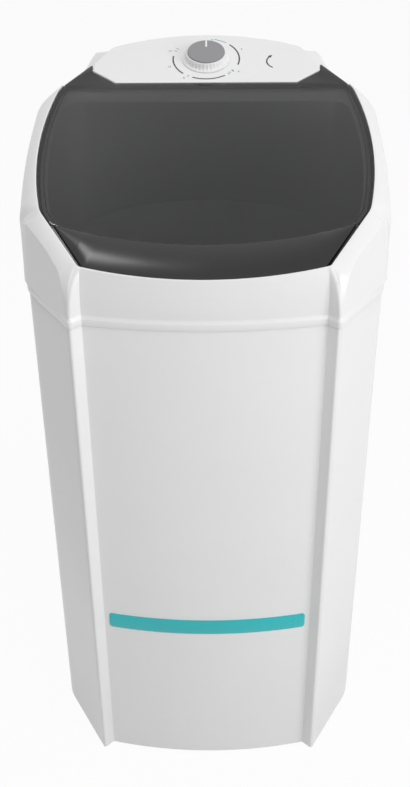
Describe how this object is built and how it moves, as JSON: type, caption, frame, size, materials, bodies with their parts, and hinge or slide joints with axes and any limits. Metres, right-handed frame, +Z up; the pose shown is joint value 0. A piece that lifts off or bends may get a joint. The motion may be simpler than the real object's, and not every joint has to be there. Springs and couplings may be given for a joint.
{
  "type": "semi-automatic washing machine",
  "caption": "Upright top-loading washing machine with sloped see-through lid, rear dial panel, round wash tub, belt-driven agitator and lint filter.",
  "frame": {"origin": "on the floor, under the middle of the machine's bounding box", "axes": "+Z up, -Y towards the front panel and the user, +X to the user's right"},
  "size_m": [0.521, 0.5252, 1.0699],
  "materials": {
    "white_casing": "smooth moulded white, soft gloss",
    "white_top": "smooth moulded white, soft gloss",
    "smoked_lid": "smoked clear plastic, glossy",
    "dark_lip": "dark grey glossy plastic",
    "teal_stripe": "printed foil strip",
    "knob_white": "satin",
    "knob_grey": "fine matt",
    "knob_mark": "printed mark",
    "tub_plastic": "smooth polypropylene",
    "agitator_plastic": "smooth polypropylene",
    "filter_plastic": "fine mesh frame",
    "grey_plastic": "moulded",
    "black_plastic": "moulded",
    "timer_plastic": "moulded",
    "black_rubber": "matt",
    "screw_steel": "zinc plated",
    "shaft_steel": "ground",
    "plate_steel": "galvanised",
    "stator_iron": "varnished",
    "cast_alloy": "cast",
    "bronze": "sintered"
  },
  "bodies": {
    "cabinet": {"front_panel": "white_casing", "left_side_panel": "white_casing", "right_side_panel": "white_casing", "rear_panel": "white_casing", "base_tray": "grey_plastic", "feet": "black_rubber", "base_screws": "screw_steel", "front_stripe": "teal_stripe", "rear_cover": "white_casing", "rear_cover_screws": "screw_steel", "top_collar": "white_top", "collar_screws": "screw_steel", "control_panel": "white_top", "hinge_blocks": "grey_plastic", "wash_tub": "tub_plastic", "tub_screws": "screw_steel", "bearing_housing": "cast_alloy", "housing_screws": "screw_steel", "upper_bearing": "bronze", "lower_bearing": "bronze", "shaft_seal": "black_rubber", "drain_strainer": "grey_plastic", "tub_outlet": "grey_plastic", "drain_hose": "black_rubber", "hose_clamps": "screw_steel", "drain_outlet": "grey_plastic", "motor_stator": "stator_iron", "motor_top_cap": "cast_alloy", "motor_base_cap": "cast_alloy", "motor_bolts": "screw_steel", "motor_bracket": "plate_steel", "bracket_screws": "screw_steel", "capacitor": "grey_plastic", "capacitor_clamp": "plate_steel", "drive_belt": "black_rubber", "timer_case": "timer_plastic", "timer_screws": "screw_steel", "cord_gland": "black_plastic", "wire_loom": "black_plastic", "filter_holder": "tub_plastic"},
    "lid": {"lid_panel": "smoked_lid", "lid_lip": "dark_lip", "hinge_pins": "shaft_steel"},
    "knob": {"knob_body": "knob_white", "knob_cap": "knob_grey", "knob_pointer": "knob_mark", "timer_shaft": "shaft_steel"},
    "agitator_set": {"agitator": "agitator_plastic", "agitator_cap": "agitator_plastic", "agitator_screw": "screw_steel", "drive_shaft": "shaft_steel", "drive_pulley": "cast_alloy", "pulley_nut": "screw_steel"},
    "motor_rotor": {"motor_shaft": "shaft_steel", "motor_pulley": "cast_alloy"},
    "filter": {"lint_filter": "filter_plastic"}
  },
  "joints": [
    {"name": "lid_hinge", "type": "hinge", "parent": "cabinet", "child": "lid", "pos_m": [0, 0.186, 1.02958], "axis": [-1, 0, 0], "range_deg": [0, 115]},
    {"name": "timer_turn", "type": "hinge", "parent": "cabinet", "child": "knob", "pos_m": [0, 0.2036, 1.04422], "axis": [0, -0.3987, 0.9171], "range_deg": [-330, 0]},
    {"name": "agitator_spin", "type": "hinge", "parent": "cabinet", "child": "agitator_set", "pos_m": [0, 0, 0.26], "axis": [0, 0, 1], "continuous": true},
    {"name": "motor_spin", "type": "hinge", "parent": "cabinet", "child": "motor_rotor", "pos_m": [0, 0.15, 0.12], "axis": [0, 0, 1], "continuous": true},
    {"name": "filter_lift", "type": "slide", "parent": "cabinet", "child": "filter", "axis": [0, 0, 1], "range_m": [0, 0.15]}
  ],
  "couplings": [
    {"joint": "motor_spin", "follows": "agitator_spin", "ratio": 5}
  ]
}
